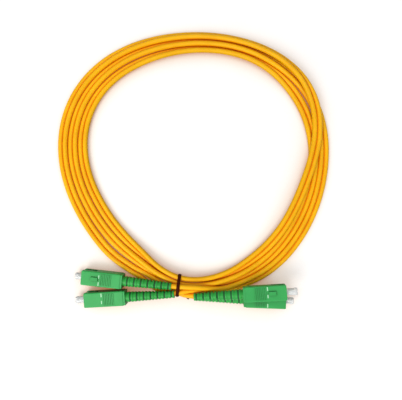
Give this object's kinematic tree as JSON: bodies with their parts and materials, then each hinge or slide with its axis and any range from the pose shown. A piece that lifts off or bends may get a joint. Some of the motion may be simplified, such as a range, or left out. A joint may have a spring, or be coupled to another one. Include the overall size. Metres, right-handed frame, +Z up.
{
  "type": "fibre optic patch lead",
  "caption": "Duplex fibre optic patch lead with square push-pull plugs, ribbed boots and dust caps, coiled and held by a twist tie.",
  "frame": {"origin": "centre of the four plugs' footprint, on the surface that the lead lies on", "axes": "+X along the plugs, from the left pair to the right pair; +Y into the coil; +Z up"},
  "size_m": [0.1682, 0.1687, 0.0182],
  "materials": {
    "grip_green": "moulded, satin gloss",
    "frame_green": "moulded",
    "boot_green": "moulded, matt",
    "cap_clear": "soft, milky",
    "ceramic_white": "polished",
    "flange_metal": "turned",
    "spring_steel": "drawn wire",
    "post_metal": "turned",
    "sleeve_metal": "plated",
    "yarn_yellow": "loose fibres",
    "buffer_white": "smooth",
    "jacket_yellow": "smooth, satin",
    "tie_dark": "paper or plastic over wire"
  },
  "bodies": {
    "lead": {"plug_frame_a1": "frame_green", "float_spring_a1": "spring_steel", "back_post_a1": "post_metal", "strength_yarn_a1": "yarn_yellow", "crimp_sleeve_a1": "sleeve_metal", "boot_a1": "boot_green", "plug_frame_a2": "frame_green", "float_spring_a2": "spring_steel", "back_post_a2": "post_metal", "strength_yarn_a2": "yarn_yellow", "crimp_sleeve_a2": "sleeve_metal", "boot_a2": "boot_green", "plug_frame_b1": "frame_green", "float_spring_b1": "spring_steel", "back_post_b1": "post_metal", "strength_yarn_b1": "yarn_yellow", "crimp_sleeve_b1": "sleeve_metal", "boot_b1": "boot_green", "plug_frame_b2": "frame_green", "float_spring_b2": "spring_steel", "back_post_b2": "post_metal", "strength_yarn_b2": "yarn_yellow", "crimp_sleeve_b2": "sleeve_metal", "boot_b2": "boot_green", "jacket_coil_1": "jacket_yellow", "jacket_coil_2": "jacket_yellow", "jacket_leg_a1": "jacket_yellow", "jacket_leg_a2": "jacket_yellow", "jacket_leg_b1": "jacket_yellow", "jacket_leg_b2": "jacket_yellow", "twist_tie": "tie_dark"},
    "grip_a1": {"outer_grip_a1": "grip_green"},
    "ferrule_a1": {"ferrule_a1": "ceramic_white", "ferrule_flange_a1": "flange_metal", "fibre_buffer_a1": "buffer_white"},
    "cap_a1": {"dust_cap_a1": "cap_clear"},
    "grip_a2": {"outer_grip_a2": "grip_green"},
    "ferrule_a2": {"ferrule_a2": "ceramic_white", "ferrule_flange_a2": "flange_metal", "fibre_buffer_a2": "buffer_white"},
    "cap_a2": {"dust_cap_a2": "cap_clear"},
    "grip_b1": {"outer_grip_b1": "grip_green"},
    "ferrule_b1": {"ferrule_b1": "ceramic_white", "ferrule_flange_b1": "flange_metal", "fibre_buffer_b1": "buffer_white"},
    "cap_b1": {"dust_cap_b1": "cap_clear"},
    "grip_b2": {"outer_grip_b2": "grip_green"},
    "ferrule_b2": {"ferrule_b2": "ceramic_white", "ferrule_flange_b2": "flange_metal", "fibre_buffer_b2": "buffer_white"},
    "cap_b2": {"dust_cap_b2": "cap_clear"}
  },
  "joints": [
    {"name": "grip_slide_a1", "type": "slide", "parent": "lead", "child": "grip_a1", "axis": [0.9927, -0.0938, 0.0758], "range_m": [0, 0.0016]},
    {"name": "ferrule_float_a1", "type": "slide", "parent": "lead", "child": "ferrule_a1", "axis": [0.9927, -0.0938, 0.0758], "range_m": [0, 0.001], "stiffness_N_per_m": 1500, "deforming": ["float_spring_a1"]},
    {"name": "cap_pull_a1", "type": "slide", "parent": "ferrule_a1", "child": "cap_a1", "axis": [-0.9927, 0.0938, -0.0758], "range_m": [0, 0.012]},
    {"name": "grip_slide_a2", "type": "slide", "parent": "lead", "child": "grip_a2", "axis": [0.9948, 0.0748, 0.0698], "range_m": [0, 0.0016]},
    {"name": "ferrule_float_a2", "type": "slide", "parent": "lead", "child": "ferrule_a2", "axis": [0.9948, 0.0748, 0.0698], "range_m": [0, 0.001], "stiffness_N_per_m": 1500, "deforming": ["float_spring_a2"]},
    {"name": "cap_pull_a2", "type": "slide", "parent": "ferrule_a2", "child": "cap_a2", "axis": [-0.9948, -0.0748, -0.0698], "range_m": [0, 0.012]},
    {"name": "grip_slide_b1", "type": "slide", "parent": "lead", "child": "grip_b1", "axis": [-0.9903, -0.0832, -0.1115], "range_m": [0, 0.0016]},
    {"name": "ferrule_float_b1", "type": "slide", "parent": "lead", "child": "ferrule_b1", "axis": [-0.9903, -0.0832, -0.1115], "range_m": [0, 0.001], "stiffness_N_per_m": 1500, "deforming": ["float_spring_b1"]},
    {"name": "cap_pull_b1", "type": "slide", "parent": "ferrule_b1", "child": "cap_b1", "axis": [0.9903, 0.0832, 0.1115], "range_m": [0, 0.012]},
    {"name": "grip_slide_b2", "type": "slide", "parent": "lead", "child": "grip_b2", "axis": [-0.9985, 0.0244, -0.0482], "range_m": [0, 0.0016]},
    {"name": "ferrule_float_b2", "type": "slide", "parent": "lead", "child": "ferrule_b2", "axis": [-0.9985, 0.0244, -0.0482], "range_m": [0, 0.001], "stiffness_N_per_m": 1500, "deforming": ["float_spring_b2"]},
    {"name": "cap_pull_b2", "type": "slide", "parent": "ferrule_b2", "child": "cap_b2", "axis": [0.9985, -0.0244, 0.0482], "range_m": [0, 0.012]}
  ]
}
